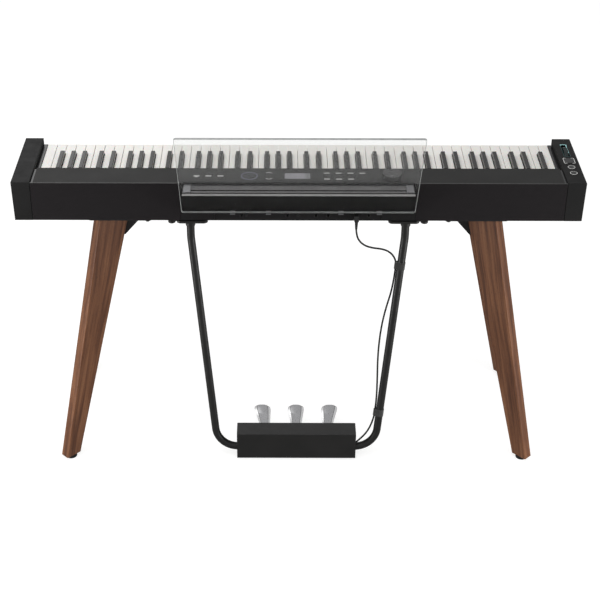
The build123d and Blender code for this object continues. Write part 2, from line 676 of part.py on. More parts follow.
def tube_brackets():
    """Plates under the case with a welded collar round the top of each tube and a tab for the thumb bolt."""
    collar = TUBE_R + 0.2
    foot = CASE_FLOOR - TUBE_PLATE_T
    with BuildPart() as brackets:
        for side in (-1, 1):
            slab(side * (TUBE_X - 41.5), side * (TUBE_X + 32), 1, 34, foot, CASE_FLOOR)
        fillet(brackets.edges().filter_by(Axis.Z), 10)
        for side in (-1, 1):
            slab(side * (TUBE_X + 22), side * (BOLT_X + 8), 7, 28, CASE_FLOOR - BOLT_TAB_T, CASE_FLOOR)
            barrel(collar + 1.8, side * TUBE_X, 14, foot - 10, foot)
            barrel(collar, side * TUBE_X, 14, foot - 11, CASE_FLOOR - 8, Mode.SUBTRACT)
    return brackets.part


def thumb_bolts():
    """Round-headed thumb bolts that clamp the tube plates to the case."""
    head_top = CASE_FLOOR - BOLT_TAB_T
    with BuildPart() as bolts:
        for side in (-1, 1):
            barrel(BOLT_HEAD_R, side * BOLT_X, 14, head_top - BOLT_HEAD_H, head_top)
        fillet(top_edges(bolts.part, head_top - BOLT_HEAD_H), 1.5)
    return bolts.part


BOX_PROFILE = ((BOX_REAR, BOX_FLOOR), (BOX_REAR, BOX_TOP), (-36.0, BOX_TOP), (-20.0, 34.0), (-20.0, BOX_FLOOR))
BOX_WALL = 2.0
PEDAL_XS = (-PEDAL_PITCH, 0.0, PEDAL_PITCH)


def pedal_case():
    """Sheet-steel housing of the pedals, open underneath, slotted at the front."""
    wall = BOX_WALL
    inside = [(BOX_REAR + wall, BOX_FLOOR - 1), (BOX_REAR + wall, BOX_TOP - wall),
              (-36 - wall, BOX_TOP - wall), (-20 - wall - 0.4, 34), (-20 - wall - 0.4, BOX_FLOOR - 1)]
    with BuildPart() as housing:
        rail(BOX_PROFILE, -BOX_HALF, BOX_HALF)
        fillet(housing.edges().filter_by(Axis.X).group_by(Axis.Z)[-1], 1.5)
        rail(inside, -BOX_HALF + wall, BOX_HALF - wall, Mode.SUBTRACT)
        for x in PEDAL_XS:
            slab(x - 14, x + 14, -50, -15, 32, 60, Mode.SUBTRACT)
        for side in (-1, 1):
            pin(TUBE_R + 0.2, side * BOX_HALF - 4, side * BOX_HALF + 4, -66, 27, Mode.SUBTRACT)
        pin(CABLE_R + 0.3, -BOX_HALF - 4, -BOX_HALF + 4, -74, 44, Mode.SUBTRACT)
    return housing.part


def pedal_base():
    """Base plate of the pedal box with the bearing cheeks of the pedal shaft and four feet."""
    inset, height = PEDAL_PIVOT
    half = BOX_HALF - BOX_WALL - 0.3
    with BuildPart() as base:
        slab(-half, half, BOX_REAR + BOX_WALL + 0.3, -22.8, BOX_FLOOR, BOX_FLOOR + 3)
        for x in PEDAL_XS:
            for side in (-1, 1):
                slab(x + side * 13, x + side * 16, inset - 8, inset + 8, BOX_FLOOR + 3, height + 7)
        for x in PEDAL_XS:
            pin(SHAFT_R + 0.05, x - 17, x + 17, inset, height, Mode.SUBTRACT)
        for x in (-BOX_HALF + 20, BOX_HALF - 20):
            for foot in (BOX_REAR + 14, -34):
                barrel(9, x, foot, 0, BOX_FLOOR)
    return base.part


def pedal_shaft():
    """Round shaft that all three pedals turn on."""
    inset, height = PEDAL_PIVOT
    with BuildPart() as shaft:
        pin(SHAFT_R, -PEDAL_PITCH - 20, PEDAL_PITCH + 20, inset, height)
    return shaft.part


PEDAL_PLAN = ((-70.0, 9.0), (-20.0, 9.5), (20.0, 15.0), (60.0, 20.0), (76.0, 16.0))
PEDAL_TIP = 83.0
PEDAL_FLARE = 14.0      # how far the tip of an outer pedal swings outwards


def pedal(x, flare):
    """Cast pedal that widens towards the player; flare is how far its tip swings outwards."""
    inset, height = PEDAL_PIVOT
    rear, front = PEDAL_PLAN[0][0], PEDAL_TIP
    def centre(at):
        return x + flare * max(0.0, at - inset) / (front - inset)
    left = [(centre(at) - half, REAR - at) for at, half in PEDAL_PLAN]
    right = [(centre(at) + half, REAR - at) for at, half in PEDAL_PLAN]
    over = [(rear - 4, 5.5), (-40, 6.5), (0, 9.0), (45, 9.0), (front + 1, 2.5)]
    under = [(front + 1, -2.5), (45, 3.5), (0, 3.5), (-40, 0.0), (-54, -1.5)]
    heel = [under[-1], (-58, -6), (rear - 4, -6), over[0]]
    with BuildPart() as lever:
        with BuildSketch(Plane.XY.offset(height - 10)):
            with BuildLine():
                Spline(*left)
                ThreePointArc(left[-1], (centre(front), REAR - front), right[-1])
                Spline(*right[::-1])
                Line(right[0], left[0])
            make_face()
        extrude(amount=25)
        with BuildSketch(Plane.YZ.offset(x - 60), mode=Mode.PRIVATE) as outline:
            with BuildLine():
                Spline(*[(REAR - at, height + z) for at, z in over])
                Line((REAR - over[-1][0], height + over[-1][1]), (REAR - under[0][0], height + under[0][1]))
                Spline(*[(REAR - at, height + z) for at, z in under])
                Polyline(*[(REAR - at, height + z) for at, z in heel])
            make_face()
        extrude(outline.sketch, amount=120, mode=Mode.INTERSECT)
        pin(SHAFT_R + 0.05, x - 30, x + 30, inset, height, Mode.SUBTRACT)
    return lever.part


# ---------------------------------------------------------------- pedal cable
# Route of the cable as (distance towards the bass end, inset, height)
CABLE_ROUTE = (
    (137, -9, 624), (138.5, -9, 606), (147, -8, 589), (161, -6, 577), (179, -4, 570.5), (200, -1, 566.5),
    (216.5, 2, 558.5), (228.5, 4, 546), (236.3, 5, 528), (234.9, 2.2, 507), (231.8, -2, 479), (226.5, -6.5, 447),
    (216, -11.5, 408), (207, -18, 364), (201.8, -25, 315), (199.8, -32, 268), (200.4, -39, 220),
    (200.3, -46, 172), (197.8, -51, 134), (194.6, -55.5, 110), (187.5, -60.5, 89), (178, -65.5, 71.5),
    (165, -70, 57), (149.5, -74, 44),
)
STRAP_Z = (518.0, 124.0)
STRAP_T = 1.2


def cable_radii(points):
    """Bend radius at each inner point: 0.45 of the shorter run over the tangent of half the turn."""
    radii = []
    for before, here, after in zip(points, points[1:], points[2:]):
        turn = (here - before).get_angle(after - here)
        run = min((here - before).length, (after - here).length)
        radii.append(0.45 * run / tan(radians(turn) / 2))
    return radii


def pedal_cable():
    """Cable from the jack strip, strapped to the bass-side tube, into the pedal box."""
    points = [Vector(-x, REAR - inset, z) for x, inset, z in CABLE_ROUTE]
    radii = cable_radii(points)
    with BuildPart() as cable:
        with BuildLine() as route:
            FilletPolyline(*points, radius=radii)
        start = route.wire() @ 0
        with BuildSketch(Plane(origin=start, z_dir=route.wire() % 0)):
            Circle(CABLE_R)
        sweep(path=route.wire())
    length = route.wire().length
    section = pi * CABLE_R ** 2
    print("cable length", round(length, 1), "volume", round(cable.part.volume), "section x length",
          round(section * length))
    print("cable radii", [round(radius, 1) for radius in radii])
    return cable.part


def cable_plug():
    """Angled plug in the pedal socket, with its strain relief pointing down."""
    with BuildPart() as plug:
        plug_hole(PEDAL_JACK_R - 0.1, PEDAL_JACK_X, -2, 12, JACK_Z)
        slab(PEDAL_JACK_X - 5.5, PEDAL_JACK_X + 5.5, -15, 0.8, JACK_Z - 9, JACK_Z + 6)
        fillet(plug.edges().filter_by(Axis.Y), 2)
        with Locations((PEDAL_JACK_X, REAR + 9, (JACK_Z - 9 + 624) / 2)):
            Cone(CABLE_R + 0.4, 4.2, JACK_Z - 9 - 624)
    return plug.part


def cable_straps():
    """Two straps that hold the cable against the inner side of the tube."""
    top, foot = [Vector(-x, REAR - inset, z) for x, inset, z in TUBE_ROUTE[1:3]]
    axis = (foot - top).normalized()
    reach = TUBE_R + CABLE_R + 0.15
    with BuildPart() as straps:
        for z in STRAP_Z:
            centre = top + axis * ((top.Z - z) / -axis.Z)
            with BuildSketch(Plane(origin=centre, x_dir=(1, 0, 0.1), z_dir=axis)):
                Circle(TUBE_R + STRAP_T)
                with Locations((reach, 0)):
                    Circle(CABLE_R + 0.6 + STRAP_T)
                make_hull()
                Circle(TUBE_R + 0.1, mode=Mode.SUBTRACT)
                with Locations((reach, 0)):
                    Circle(CABLE_R + 0.7, mode=Mode.SUBTRACT)
            extrude(amount=9, both=True)
    return straps.part


# ---------------------------------------------------------------- write every piece
MIDDLE_OCTAVE = range(60, 72)


def write_case():
    save(bottom_case(), "bottom_case")
    save(end_block(-1), "end_block_bass")
    save(end_block(1), "end_block_treble")
    save(cheek_blocks(), "cheek_blocks")
    save(top_frame(), "top_frame")
    save(control_panel(), "control_panel")
    save(display_window(), "display_window")
    save(speaker_fabric(-1), "speaker_fabric_bass")
    save(speaker_fabric(1), "speaker_fabric_treble")
    save(rear_panel(), "rear_panel")
    save(jack_panel(), "jack_panel")
    save(jack_sockets(), "jack_sockets")
    save(speaker_drivers(), "speaker_drivers")
    save(main_board(), "main_board")
    save(key_chassis(), "key_chassis")
    save(volume_knob(), "volume_knob")
    save(pitch_wheel(), "pitch_wheel")
    save(wheel_axle(), "wheel_axle")
    save(square_button(), "square_button")
    save(round_button(ROUND_INSETS[0]), "round_button_front")
    save(round_button(ROUND_INSETS[1]), "round_button_rear")
    save(rest_holder(), "rest_holder")
    save(rest_brackets(), "rest_brackets")
    save(music_rest(), "music_rest")


def write_keys():
    for note in MIDDLE_OCTAVE:
        piece = black_key(note) if is_black(note) else white_key(note)
        save(piece, f"key_{NOTE_NAMES[note % 12]}4")
    bass = range(LOWEST_NOTE, MIDDLE_OCTAVE.start)
    treble = range(MIDDLE_OCTAVE.stop, HIGHEST_NOTE + 1)
    for name, notes in (("bass", bass), ("treble", treble)):
        save(key_group([note for note in notes if not is_black(note)]), f"white_keys_{name}")
        save(key_group([note for note in notes if is_black(note)]), f"black_keys_{name}")


def write_stand():
    for side, side_name in ((-1, "bass"), (1, "treble")):
        for end, end_name in ((-1, "front"), (1, "rear")):
            save(leg(side, end), f"leg_{end_name}_{side_name}")
    save(leg_glides(), "leg_glides")
    save(leg_brackets(), "leg_brackets")
    save(leg_bolts(), "leg_bolts")
    save(pedal_tube(-1), "pedal_tube_bass")
    save(pedal_tube(1), "pedal_tube_treble")
    save(tube_brackets(), "tube_brackets")
    save(thumb_bolts(), "thumb_bolts")


def write_pedals():
    save(pedal_case(), "pedal_case")
    save(pedal_base(), "pedal_base")
    save(pedal_shaft(), "pedal_shaft")
    save(pedal(-PEDAL_PITCH, -PEDAL_FLARE), "pedal_left")
    save(pedal(0, 0), "pedal_middle")
    save(pedal(PEDAL_PITCH, PEDAL_FLARE), "pedal_right")
    save(pedal_cable(), "pedal_cable")
    save(cable_plug(), "cable_plug")
    save(cable_straps(), "cable_straps")


write_case()
write_keys()
write_stand()
write_pedals()
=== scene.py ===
"""Looks, lights and camera for the digital piano on its stand. Everything is in metres."""
import bpy
import bmesh
import json
from math import cos, pi, radians, sin
from mathutils import Euler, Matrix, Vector


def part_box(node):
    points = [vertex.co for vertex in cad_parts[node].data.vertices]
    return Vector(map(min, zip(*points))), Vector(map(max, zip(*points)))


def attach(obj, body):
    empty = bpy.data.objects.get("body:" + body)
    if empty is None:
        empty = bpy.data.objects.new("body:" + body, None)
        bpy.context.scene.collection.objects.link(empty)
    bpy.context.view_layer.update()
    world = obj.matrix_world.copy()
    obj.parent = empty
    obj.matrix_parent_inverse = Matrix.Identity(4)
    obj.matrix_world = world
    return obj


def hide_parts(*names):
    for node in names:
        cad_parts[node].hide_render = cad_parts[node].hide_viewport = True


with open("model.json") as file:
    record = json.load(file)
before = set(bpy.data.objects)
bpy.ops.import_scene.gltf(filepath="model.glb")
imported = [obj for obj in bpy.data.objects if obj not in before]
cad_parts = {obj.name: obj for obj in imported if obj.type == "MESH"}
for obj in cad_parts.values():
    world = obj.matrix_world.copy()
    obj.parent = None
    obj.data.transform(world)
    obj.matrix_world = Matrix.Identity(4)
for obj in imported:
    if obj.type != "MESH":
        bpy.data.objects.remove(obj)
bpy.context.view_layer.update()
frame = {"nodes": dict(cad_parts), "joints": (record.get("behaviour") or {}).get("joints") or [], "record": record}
nodes = frame["nodes"]
scene = bpy.context.scene

# ---------------------------------------------------------------- places taken from the frame
BLOCK_LOW, BLOCK_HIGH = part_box("end_block_bass")
REAR = BLOCK_HIGH.y         # rear face of the case
TOP = BLOCK_HIGH.z          # top of the end blocks
MIDDLE_Y = (BLOCK_LOW.y + BLOCK_HIGH.y) / 2
PANEL_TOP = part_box("control_panel")[1].z
JOINTS = {joint["name"]: joint for joint in frame["joints"]}


# ---------------------------------------------------------------- material helpers
class Finish:
    """A Principled material with short helpers that add nodes to it."""

    def __init__(self, name, colour, roughness, **values):
        self.material = bpy.data.materials.new(name)
        self.material.use_nodes = True
        self.tree = self.material.node_tree
        self.shader = self.tree.nodes["Principled BSDF"]
        self.shader.inputs["Base Color"].default_value = (*colour, 1)
        self.shader.inputs["Roughness"].default_value = roughness
        for socket, value in values.items():
            self.shader.inputs[socket.replace("_", " ")].default_value = value
        self.place = self.tree.nodes.new("ShaderNodeTexCoord").outputs["Object"]

    def link(self, output, socket):
        self.tree.links.new(output, self.shader.inputs[socket])

    def node(self, kind, inputs=(), **settings):
        """A node whose inputs are filled in order, by a link or by a value; None leaves one as it is."""
        made = self.tree.nodes.new(kind)
        for key, value in settings.items():
            setattr(made, key, value)
        for socket, value in zip(made.inputs, inputs):
            if isinstance(value, bpy.types.NodeSocket):
                self.tree.links.new(value, socket)
            elif value is not None:
                socket.default_value = value
        return made

    def maths(self, operation, *values):
        return self.node("ShaderNodeMath", values, operation=operation).outputs[0]

    def plus(self, first, second):
        return self.maths("ADD", first, second)

    def minus(self, first, second):
        return self.maths("SUBTRACT", first, second)

    def times(self, first, second):
        return self.maths("MULTIPLY", first, second)

    def split(self):
        """X, Y and Z of the place on the piece."""
        return self.node("ShaderNodeSeparateXYZ", (self.place,)).outputs

    def join(self, x, y, z):
        return self.node("ShaderNodeCombineXYZ", (x, y, z)).outputs[0]

    def noise(self, scale, detail=2.0, place=None, stretch=None):
        place = place or self.place
        if stretch:
            place = self.node("ShaderNodeMapping", (place, None, None, stretch)).outputs[0]
        made = self.node("ShaderNodeTexNoise")
        self.tree.links.new(place, made.inputs["Vector"])
        made.inputs["Scale"].default_value = scale
        made.inputs["Detail"].default_value = detail
        return made.outputs["Fac"]

    def spread(self, value, low, high, new_low, new_high):
        """Maps low..high of a value to new_low..new_high."""
        return self.node("ShaderNodeMapRange", (value, low, high, new_low, new_high)).outputs[0]

    def ramp(self, value, *stops):
        """Colour from stops of position and colour along a value."""
        made = self.node("ShaderNodeValToRGB", (value,))
        elements = made.color_ramp.elements
        while len(elements) < len(stops):
            elements.new(0.5)
        for element, (position, colour) in zip(elements, stops):
            element.position = position
            element.color = (*colour, 1)
        return made.outputs[0]

    def blend(self, amount, first, second):
        """Mixes two colours, each a link or three numbers."""
        made = self.tree.nodes.new("ShaderNodeMix")
        made.data_type = "RGBA"
        for socket, value in ((made.inputs[0], amount), (made.inputs[6], first), (made.inputs[7], second)):
            if isinstance(value, bpy.types.NodeSocket):
                self.tree.links.new(value, socket)
            elif isinstance(value, tuple):
                socket.default_value = (*value, 1)
            else:
                socket.default_value = value
        return made.outputs[2]

    def tint(self, value, *stops):
        """Base colour from stops along a value."""
        self.link(self.ramp(value, *stops), "Base Color")

    def dull(self, value, low, high, smooth, rough):
        """Roughness from smooth to rough as a value goes from low to high."""
        self.link(self.spread(value, low, high, smooth, rough), "Roughness")

    def bump(self, height, strength, depth):
        """Surface relief; a second call lies on top of the first."""
        below = self.shader.inputs["Normal"].links
        made = self.tree.nodes.new("ShaderNodeBump")
        made.inputs["Strength"].default_value = strength
        made.inputs["Distance"].default_value = depth
        self.tree.links.new(height, made.inputs["Height"])
        if below:
            self.tree.links.new(below[0].from_socket, made.inputs["Normal"])
        self.link(made.outputs[0], "Normal")


def dimmed(colour, share):
    return tuple(channel * share for channel in colour)


# ---------------------------------------------------------------- materials
def moulded(name, dark, light, roughness, **values):
    """Moulded plastic: fine grain, slow changes of tone and sheen."""
    finish = Finish(name, dark, roughness, **values)
    finish.tint(finish.noise(9.0, 3.0), (0.3, dark), (0.7, light))
    finish.dull(finish.noise(42.0, 5.0), 0.3, 0.7, roughness - 0.05, roughness + 0.06)
    finish.bump(finish.noise(1500.0), 0.12, 0.0002)
    return finish.material


def powder_coat():
    """Satin powder coat with its slight orange peel."""
    finish = Finish("powder_coat", (0.006, 0.006, 0.0055), 0.42, IOR=1.5)
    finish.tint(finish.noise(14.0), (0.3, (0.0045, 0.0045, 0.004)), (0.7, (0.0075, 0.007, 0.0065)))
    finish.dull(finish.noise(60.0, 4.0), 0.3, 0.7, 0.36, 0.48)
    finish.bump(finish.noise(650.0, 1.0), 0.18, 0.0002)
    finish.bump(finish.noise(2600.0, 1.0), 0.1, 0.0001)
    return finish.material


def touch_panel():
    """Satin black touch panel with faint dust and polishing haze."""
    finish = Finish("touch_panel", (0.015, 0.0147, 0.014), 0.55, IOR=1.33)
    finish.dull(finish.noise(11.0, 4.0), 0.35, 0.75, 0.52, 0.6)
    finish.tint(finish.noise(700.0, 3.0),
                (0.5, (0.014, 0.0137, 0.013)), (0.8, (0.023, 0.0225, 0.0212)))
    finish.bump(finish.noise(900.0), 0.05, 0.0001)
    return finish.material


HOLDER_RISE = (0.7275, 0.7305)    # heights between which the rest holder turns from dark to its painted lit tone
HOLDER_DARK = (0.004, 0.004, 0.004)
HOLDER_PAINTED_LIT = (0.15, 0.147, 0.148)
HOLDER_LIP_HIGHLIGHT = (0.3, 0.296, 0.293)


def holder_plastic():
    """Dark moulding of the rest holder; its upper faces are painted paler as painted light, and the rounded lip
    palest as a painted highlight.
    """
    finish = Finish("holder_plastic", HOLDER_DARK, 0.6, IOR=1.2)
    level = finish.spread(finish.split()[2], *HOLDER_RISE, 0.0, 1.0)
    # Painted light: the upper faces and the lip are coloured paler in place of the light that they reflect.
    painted_lit = finish.ramp(level, (0.3, (0.004, 0.0039, 0.004)), (0.42, HOLDER_PAINTED_LIT),
                       (0.74, HOLDER_PAINTED_LIT), (0.82, HOLDER_LIP_HIGHLIGHT))
    patches = finish.spread(finish.noise(30.0, 3.0), 0.3, 0.7, 0.0, 0.18)
    finish.link(finish.blend(patches, painted_lit, HOLDER_DARK), "Base Color")
    finish.bump(finish.noise(900.0), 0.03, 0.0002)
    return finish.material


def gloss_trim():
    """Smooth black moulding beside the keys and under the panel, with a faint haze."""
    finish = Finish("gloss_trim", (0.012, 0.0115, 0.0125), 0.14, IOR=1.5)
    finish.dull(finish.noise(24.0, 4.0), 0.3, 0.7, 0.11, 0.2)
    finish.tint(finish.noise(500.0, 3.0),
                (0.4, (0.010, 0.0095, 0.0105)), (0.7, (0.015, 0.0145, 0.0155)))
    return finish.material


THREAD_PITCH = 0.0011    # from one thread of the grille cloth to the next


def grille_cloth():
    """Woven cloth: two sets of threads that pass over and under each other."""
    finish = Finish("grille_cloth", (0.01, 0.008, 0.01), 0.85, Sheen_Weight=0.08, Sheen_Roughness=0.45,
                    Specular_IOR_Level=0.2)
    x, _, z = finish.split()
    across = finish.times(x, pi / THREAD_PITCH)
    along = finish.times(z, pi / THREAD_PITCH)
    warp = finish.maths("ABSOLUTE", finish.maths("SINE", across))
    weft = finish.maths("ABSOLUTE", finish.maths("SINE", along))
    turn = finish.times(finish.maths("COSINE", across), finish.maths("COSINE", along))
    over = finish.spread(turn, -0.4, 0.4, 0.0, 1.0)
    threads = finish.plus(finish.times(warp, over), finish.times(weft, finish.minus(1.0, over)))
    slub = finish.noise(260.0, stretch=(0.12, 1.0, 1.0))
    tone = finish.plus(finish.times(threads, 0.7), finish.times(slub, 0.3))
    finish.tint(tone, (0.15, (0.0012, 0.0009, 0.0011)), (0.85, (0.0072, 0.0052, 0.0062)))
    finish.bump(threads, 0.55, 0.0003)
    return finish.material


def ivory(tone):
    """White key: warm, very fine grain along the key, a little depth."""
    finish = Finish("ivory_key", tone, 0.3, IOR=1.5, Subsurface_Weight=0.06, Subsurface_Scale=0.002)
    finish.tint(finish.noise(16.0, stretch=(1.0, 0.25, 1.0)), (0.3, dimmed(tone, 0.93)), (0.7, tone))
    fibre = finish.noise(1300.0, stretch=(1.0, 0.12, 1.0))
    finish.dull(fibre, 0.3, 0.7, 0.26, 0.38)
    finish.bump(fibre, 0.1, 0.0001)
    return finish.material


def ebony():
    """Black key: satin, with a fine grain along the key."""
    finish = Finish("ebony_key", (0.010, 0.0092, 0.0085), 0.26, IOR=1.5)
    fibre = finish.noise(900.0, 3.0, stretch=(1.0, 0.06, 1.0))
    finish.tint(fibre, (0.3, (0.006, 0.0056, 0.005)), (0.75, (0.015, 0.0138, 0.0125)))
    finish.dull(fibre, 0.3, 0.7, 0.2, 0.32)
    finish.bump(fibre, 0.12, 0.0001)
    return finish.material


LEG_LEAN = 0.111 / 0.6263    # sideways run of a leg for each metre of height, both ways
DIAGONAL = 0.7071            # the planks stand at 45 degrees to the sides of the case
LEG_SHIFTS = (1.7, 0.9)      # how far each leg's grain is moved along it, by its end and by its side
GRAIN_LENGTH = 0.045         # how much slower the grain changes along a leg than across it


def walnut():
    """Oiled walnut whose grain runs along each leaning leg."""
    finish = Finish("walnut", (0.12, 0.06, 0.03), 0.5, IOR=1.36, Coat_Weight=0.04, Coat_Roughness=0.35)
    x, y, z = finish.split()
    lean = finish.times(z, LEG_LEAN)
    from_middle = finish.minus(y, MIDDLE_Y)
    side = finish.plus(finish.maths("ABSOLUTE", x), lean)
    end = finish.plus(finish.maths("ABSOLUTE", from_middle), lean)
    width = finish.times(finish.plus(side, end), DIAGONAL)
    thick = finish.times(finish.minus(side, end), DIAGONAL)
    own = finish.plus(finish.times(finish.maths("SIGN", x), LEG_SHIFTS[0]),
                      finish.times(finish.maths("SIGN", from_middle), LEG_SHIFTS[1]))
    height = finish.plus(z, own)
    wander = finish.noise(5.0, 2.0, finish.join(width, thick, height), (1.0, 1.0, 0.35))
    rings = finish.join(finish.plus(width, finish.times(wander, 0.05)), thick,
                        finish.times(height, GRAIN_LENGTH))
    bands = finish.noise(95.0, 3.0, rings)
    streaks = finish.noise(420.0, 3.0, rings, (1.0, 1.0, 0.6))
    tone = finish.plus(finish.times(bands, 0.62), finish.times(streaks, 0.38))
    colour = finish.ramp(tone, (0.3, (0.044, 0.0140, 0.005)), (0.45, (0.094, 0.033, 0.0125)),
                         (0.58, (0.152, 0.060, 0.024)), (0.72, (0.215, 0.094, 0.040)))
    pores = finish.noise(1500.0, 2.0, rings, (1.0, 1.0, 1.5))
    open_pores = finish.spread(pores, 0.6, 0.68, 0.0, 0.75)
    finish.link(finish.blend(open_pores, colour, (0.02, 0.0095, 0.005)), "Base Color")
    finish.dull(streaks, 0.3, 0.7, 0.42, 0.56)
    finish.bump(finish.minus(1.0, open_pores), 0.35, 0.0002)
    finish.bump(streaks, 0.12, 0.0002)
    return finish.material


ALONG_X = (0.04, 1.0, 1.0)    # stretch of the brushing
ALONG_Y = (1.0, 0.06, 1.0)


def brushed(name, colour, roughness, stretch):
    """Satin metal with fine brushing along one axis."""
    finish = Finish(name, colour, roughness, Metallic=1.0)
    lines = finish.noise(1800.0, 3.0, stretch=stretch)
    finish.tint(lines, (0.3, dimmed(colour, 0.86)), (0.7, colour))
    finish.dull(lines, 0.25, 0.75, roughness - 0.06, roughness + 0.08)
    finish.bump(lines, 0.08, 0.0001)
    return finish.material


HAZE_RISE = (0.735, 0.80)    # heights between which the clear plate's surface turns hazy


def acrylic():
    """Clear cast acrylic: so thin a sheet hardly bends light; its upper part is hazy from wiping."""
    finish = Finish("clear_acrylic", (0.91, 0.914, 0.908), 0.0, IOR=1.015, Transmission_Weight=1.0,
                    Coat_IOR=1.45, Coat_Roughness=0.5)
    height = finish.spread(finish.split()[2], *HAZE_RISE, 0.0, 1.0)
    wiped = finish.spread(finish.noise(5.0, 3.0), 0.3, 0.8, 0.92, 1.0)
    finish.link(finish.times(height, wiped), "Coat Weight")
    return finish.material


def glowing(finish, tone):
    """Gives a finish one link for its own colour and for the light that it gives off."""
    finish.link(tone, "Base Color")
    finish.link(tone, "Emission Color")
    return finish.material


def acrylic_edge():
    """Sawn and flamed edge of the sheet, coloured pale and given a faint glow as painted light for the light that
    the edge gathers.
    """
    finish = Finish("acrylic_edge", (0.3, 0.31, 0.305), 0.3, IOR=1.49, Emission_Strength=0.05)
    return glowing(finish, finish.ramp(finish.noise(60.0, 3.0),
                                       (0.3, (0.26, 0.27, 0.265)), (0.7, (0.34, 0.35, 0.345))))


def printed(name, colour, glow):
    """Printed or back-lit mark; glow is the strength of its own light."""
    finish = Finish(name, colour, 0.4, Emission_Strength=glow)
    return glowing(finish, finish.ramp(finish.noise(2500.0, 1.0),
                                       (0.3, dimmed(colour, 0.9)), (0.7, colour)))


def rubber(name, tone):
    """Dark rubber or cable jacket, slightly mottled."""
    finish = Finish(name, (tone,) * 3, 0.7, Specular_IOR_Level=0.3)
    finish.tint(finish.noise(30.0, 4.0), (0.3, (tone * 0.7,) * 3), (0.7, (tone * 1.3,) * 3))
    finish.bump(finish.noise(1200.0), 0.2, 0.0002)
    return finish.material


def strap_weave():
    """Hook-and-loop strap: short fuzzy loops."""
    finish = Finish("strap_weave", (0.01, 0.01, 0.01), 0.95, Sheen_Weight=0.4, Sheen_Roughness=0.5)
    loops = finish.noise(1100.0, 4.0)
    finish.tint(loops, (0.35, (0.003, 0.003, 0.003)), (0.7, (0.024, 0.023, 0.022)))
    finish.bump(loops, 0.9, 0.0006)
    return finish.material


TRACK_PITCH = 0.004    # from a track on the circuit board to the gap beside it


def board_green():
    """Circuit board with faint tracks."""
    finish = Finish("board_green", (0.01, 0.08, 0.03), 0.35)
    track = finish.maths("PINGPONG", finish.plus(finish.split()[0], finish.noise(20.0)), TRACK_PITCH)
    finish.tint(finish.spread(track, 0.0, TRACK_PITCH, 0.0, 1.0),
                (0.3, (0.006, 0.05, 0.02)), (0.5, (0.015, 0.11, 0.045)))
    return finish.material


# Tone across the display from its bass edge: a narrow rim, a darker field, then a pale field
DISPLAY_STOPS = (
    (0.0, (0.17, 0.17, 0.18)), (0.04, (0.12, 0.12, 0.128)), (0.17, (0.12, 0.12, 0.128)),
    (0.20, (0.21, 0.205, 0.225)), (0.97, (0.20, 0.197, 0.215)),
)
DISPLAY_GRID = (0.12, 0.12, 0.13)
HALF_DOT = 0.00045
GRID_LINE = 0.0001


def display_face():
    """Pale display behind a clear cover, with one darker field and no text."""
    low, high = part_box("display_window")
    finish = Finish("display_face", (0.2, 0.2, 0.21), 0.3, IOR=1.5, Coat_Weight=0.5, Coat_Roughness=0.12)
    x, y, _ = finish.split()
    across = finish.spread(x, low.x, high.x, 0.0, 1.0)
    dots = finish.maths("PINGPONG", x, HALF_DOT)
    rows = finish.maths("PINGPONG", y, HALF_DOT)
    grid = finish.spread(finish.maths("MINIMUM", dots, rows), 0.0, GRID_LINE, 0.82, 1.0)
    field = finish.ramp(across, *DISPLAY_STOPS)
    finish.link(finish.blend(grid, DISPLAY_GRID, field), "Base Color")
    return finish.material


# ---------------------------------------------------------------- mesh helpers
MERGE = 1e-6    # points closer than this become one


def piece(name, mesh_maker, materials, body, smooth=True):
    """A new object whose mesh is filled in by mesh_maker, riding on a body."""
    mesh = bpy.data.meshes.new(name)
    built = bmesh.new()
    mesh_maker(built)
    bmesh.ops.recalc_face_normals(built, faces=built.faces)
    built.to_mesh(mesh)
    built.free()
    for material in materials:
        mesh.materials.append(material)
    if smooth:
        mesh.shade_smooth()
    made = bpy.data.objects.new(name, mesh)
    scene.collection.objects.link(made)
    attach(made, body)
    return made


def loft(built, rings, close_ends=True):
    """Skins a list of rings of points, each the same length."""
    rows = [[built.verts.new(point) for point in ring] for ring in rings]
    count = len(rows[0])
    for lower, upper in zip(rows, rows[1:]):
        for i in range(count):
            built.faces.new((lower[i], lower[(i + 1) % count], upper[(i + 1) % count], upper[i]))
    if close_ends:
        built.faces.new(rows[0])
        built.faces.new(rows[-1][::-1])


def circle(radius, steps):
    """Points (x, y) round a circle, about its middle."""
    turns = [2 * pi * step / steps for step in range(steps)]
    return [(radius * cos(turn), radius * sin(turn)) for turn in turns]


def round_outline(width, depth, radius, steps=6):
    """A rectangle with round corners as (x, y) points about its middle."""
    points = []
    corners = ((1, 1, 0), (-1, 1, 90), (-1, -1, 180), (1, -1, 270))
    for side, end, start in corners:
        for step in range(steps + 1):
            angle = radians(start + 90 * step / steps)
            points.append((side * (width / 2 - radius) + radius * cos(angle),
                           end * (depth / 2 - radius) + radius * sin(angle)))
    return points


def level_ring(outline, centre, z):
    return [Vector((centre[0] + x, centre[1] + y, z)) for x, y in outline]


def band(built, outer, inner, centre, z0, z1):
    """A flat ring between two outlines with the same number of points."""
    rings = [level_ring(outline, centre, z)
             for outline, z in ((outer, z0), (outer, z1), (inner, z1), (inner, z0))]
    loft(built, rings + rings[:1], close_ends=False)
    bmesh.ops.remove_doubles(built, verts=built.verts, dist=MERGE)


def lid(built, outline, centre, z0, z1):
    """A thin flat plate with the given outline."""
    loft(built, [level_ring(outline, centre, z) for z in (z0, z1)])


# ---------------------------------------------------------------- camera, stage and light
CAMERA_BEHIND = 2.965     # behind the case's rear face
CAMERA_ASIDE = 0.0445     # towards the treble end
CAMERA_UP = 2.2476
CAMERA_PITCH = 31.70      # degrees below the horizon
CAMERA_YAW = 0.264        # degrees
CAMERA_LENS = 85.67       # millimetres, as is the sensor
CAMERA_SENSOR = 36
CAMERA_SHIFT = (0.0442, 0.0033)

